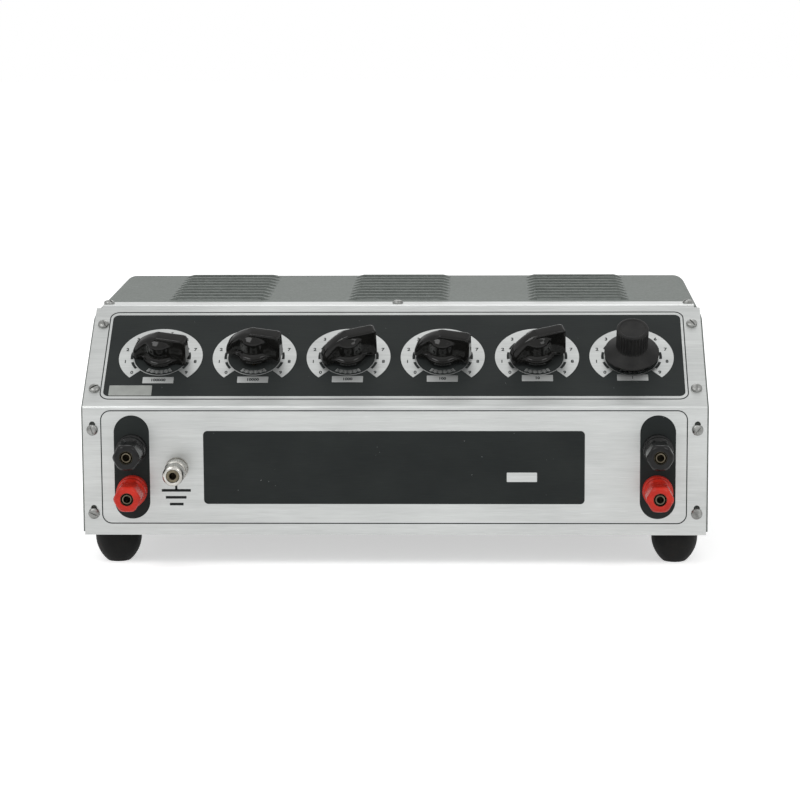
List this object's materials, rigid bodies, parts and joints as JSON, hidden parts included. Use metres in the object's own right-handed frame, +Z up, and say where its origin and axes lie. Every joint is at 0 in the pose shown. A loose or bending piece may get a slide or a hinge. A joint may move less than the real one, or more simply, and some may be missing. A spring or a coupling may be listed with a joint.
{
  "type": "resistance decade box",
  "caption": "Sloping-front bench box of switched power resistors with rotary dials, binding posts, a louvred top and rubber feet.",
  "frame": {"origin": "on the table, under the middle of the bounding box", "axes": "+X to the user's right and along the longest side, +Y to the back, +Z up; the dials and posts face -Y"},
  "size_m": [0.349, 0.2396, 0.1404],
  "materials": {
    "panel_aluminium": "brushed",
    "cabinet_paint": "satin enamel",
    "screw_steel": "zinc plated",
    "rubber": "matte",
    "plated_brass": "nickel plated",
    "nickel": "bright nickel",
    "ceramic": "unglazed steatite",
    "spring_steel": "plain",
    "phenolic": "paper laminate",
    "red_plastic": "moulded",
    "black_plastic": "moulded",
    "bakelite": "polished moulding",
    "matte_knob": "satin moulding",
    "enamel": "vitreous enamel",
    "wire_insulation": "sleeving"
  },
  "bodies": {
    "cabinet": {"front_panel": "panel_aluminium", "cabinet_cover": "cabinet_paint", "back_panel": "cabinet_paint", "bottom_plate": "cabinet_paint", "panel_screws": "screw_steel", "panel_nuts": "screw_steel", "rear_screws": "screw_steel", "base_screws": "screw_steel", "rubber_feet": "rubber", "foot_screws": "screw_steel", "foot_nuts": "screw_steel", "switch_bodies": "plated_brass", "switch_nuts": "plated_brass", "switch_stators": "ceramic", "stator_contacts": "plated_brass", "detent_springs": "spring_steel", "post_studs": "plated_brass", "post_bases_red": "red_plastic", "post_bases_black": "black_plastic", "ground_post_base": "nickel", "post_washers": "phenolic", "solder_lugs": "plated_brass", "post_nuts": "plated_brass", "resistors_decade_1": "enamel", "resistors_decade_2": "enamel", "resistors_decade_3": "enamel", "resistors_decade_4": "enamel", "resistors_decade_5": "enamel", "resistors_decade_6": "enamel", "resistor_boards": "phenolic", "board_rails": "spring_steel", "hookup_wires": "wire_insulation"},
    "dial_1": {"knob_1": "bakelite", "switch_shaft_1": "spring_steel", "switch_rotor_1": "phenolic"},
    "dial_2": {"knob_2": "bakelite", "switch_shaft_2": "spring_steel", "switch_rotor_2": "phenolic"},
    "dial_3": {"knob_3": "bakelite", "switch_shaft_3": "spring_steel", "switch_rotor_3": "phenolic"},
    "dial_4": {"knob_4": "bakelite", "switch_shaft_4": "spring_steel", "switch_rotor_4": "phenolic"},
    "dial_5": {"knob_5": "bakelite", "switch_shaft_5": "spring_steel", "switch_rotor_5": "phenolic"},
    "dial_6": {"knob_6": "matte_knob", "switch_shaft_6": "spring_steel", "switch_rotor_6": "phenolic"},
    "insert_red_left": {"post_insert_red_left": "plated_brass"},
    "cap_red_left": {"post_cap_red_left": "red_plastic"},
    "insert_black_left": {"post_insert_black_left": "plated_brass"},
    "cap_black_left": {"post_cap_black_left": "black_plastic"},
    "insert_red_right": {"post_insert_red_right": "plated_brass"},
    "cap_red_right": {"post_cap_red_right": "red_plastic"},
    "insert_black_right": {"post_insert_black_right": "plated_brass"},
    "cap_black_right": {"post_cap_black_right": "black_plastic"},
    "insert_ground": {"post_insert_ground": "plated_brass"},
    "cap_ground": {"post_cap_ground": "nickel"}
  },
  "joints": [
    {"name": "dial_1_turn", "type": "hinge", "parent": "cabinet", "child": "dial_1", "pos_m": [-0.133, -0.05721, 0.11383], "axis": [0, 0.5515, -0.8342], "range_deg": [-232, 29]},
    {"name": "dial_2_turn", "type": "hinge", "parent": "cabinet", "child": "dial_2", "pos_m": [-0.0798, -0.05721, 0.11383], "axis": [0, 0.5515, -0.8342], "range_deg": [-232, 29]},
    {"name": "dial_3_turn", "type": "hinge", "parent": "cabinet", "child": "dial_3", "pos_m": [-0.0266, -0.05721, 0.11383], "axis": [0, 0.5515, -0.8342], "range_deg": [-203, 58]},
    {"name": "dial_4_turn", "type": "hinge", "parent": "cabinet", "child": "dial_4", "pos_m": [0.0266, -0.05721, 0.11383], "axis": [0, 0.5515, -0.8342], "range_deg": [-232, 29]},
    {"name": "dial_5_turn", "type": "hinge", "parent": "cabinet", "child": "dial_5", "pos_m": [0.0798, -0.05721, 0.11383], "axis": [0, 0.5515, -0.8342], "range_deg": [-203, 58]},
    {"name": "dial_6_turn", "type": "hinge", "parent": "cabinet", "child": "dial_6", "pos_m": [0.133, -0.05721, 0.11383], "axis": [0, 0.5515, -0.8342], "range_deg": [0, 261]},
    {"name": "post_red_left_travel", "type": "slide", "parent": "cabinet", "child": "insert_red_left", "axis": [0, -1, 0], "range_m": [0, 0.004]},
    {"name": "post_red_left_turn", "type": "hinge", "parent": "insert_red_left", "child": "cap_red_left", "pos_m": [-0.1463, -0.10575, 0.044], "axis": [0, -1, 0], "range_deg": [0, 1440]},
    {"name": "post_black_left_travel", "type": "slide", "parent": "cabinet", "child": "insert_black_left", "axis": [0, -1, 0], "range_m": [0, 0.004]},
    {"name": "post_black_left_turn", "type": "hinge", "parent": "insert_black_left", "child": "cap_black_left", "pos_m": [-0.1463, -0.10575, 0.0673], "axis": [0, -1, 0], "range_deg": [0, 1440]},
    {"name": "post_red_right_travel", "type": "slide", "parent": "cabinet", "child": "insert_red_right", "axis": [0, -1, 0], "range_m": [0, 0.004]},
    {"name": "post_red_right_turn", "type": "hinge", "parent": "insert_red_right", "child": "cap_red_right", "pos_m": [0.1463, -0.10575, 0.044], "axis": [0, -1, 0], "range_deg": [0, 1440]},
    {"name": "post_black_right_travel", "type": "slide", "parent": "cabinet", "child": "insert_black_right", "axis": [0, -1, 0], "range_m": [0, 0.004]},
    {"name": "post_black_right_turn", "type": "hinge", "parent": "insert_black_right", "child": "cap_black_right", "pos_m": [0.1463, -0.10575, 0.0673], "axis": [0, -1, 0], "range_deg": [0, 1440]},
    {"name": "post_ground_travel", "type": "slide", "parent": "cabinet", "child": "insert_ground", "axis": [0, -1, 0], "range_m": [0, 0.004]},
    {"name": "post_ground_turn", "type": "hinge", "parent": "insert_ground", "child": "cap_ground", "pos_m": [-0.1212, -0.104, 0.0564], "axis": [0, -1, 0], "range_deg": [0, 1440]}
  ],
  "couplings": [
    {"joint": "post_red_left_turn", "follows": "post_red_left_travel", "rad_per_m": 6283.2},
    {"joint": "post_black_left_turn", "follows": "post_black_left_travel", "rad_per_m": 6283.2},
    {"joint": "post_red_right_turn", "follows": "post_red_right_travel", "rad_per_m": 6283.2},
    {"joint": "post_black_right_turn", "follows": "post_black_right_travel", "rad_per_m": 6283.2},
    {"joint": "post_ground_turn", "follows": "post_ground_travel", "rad_per_m": 6283.2}
  ]
}
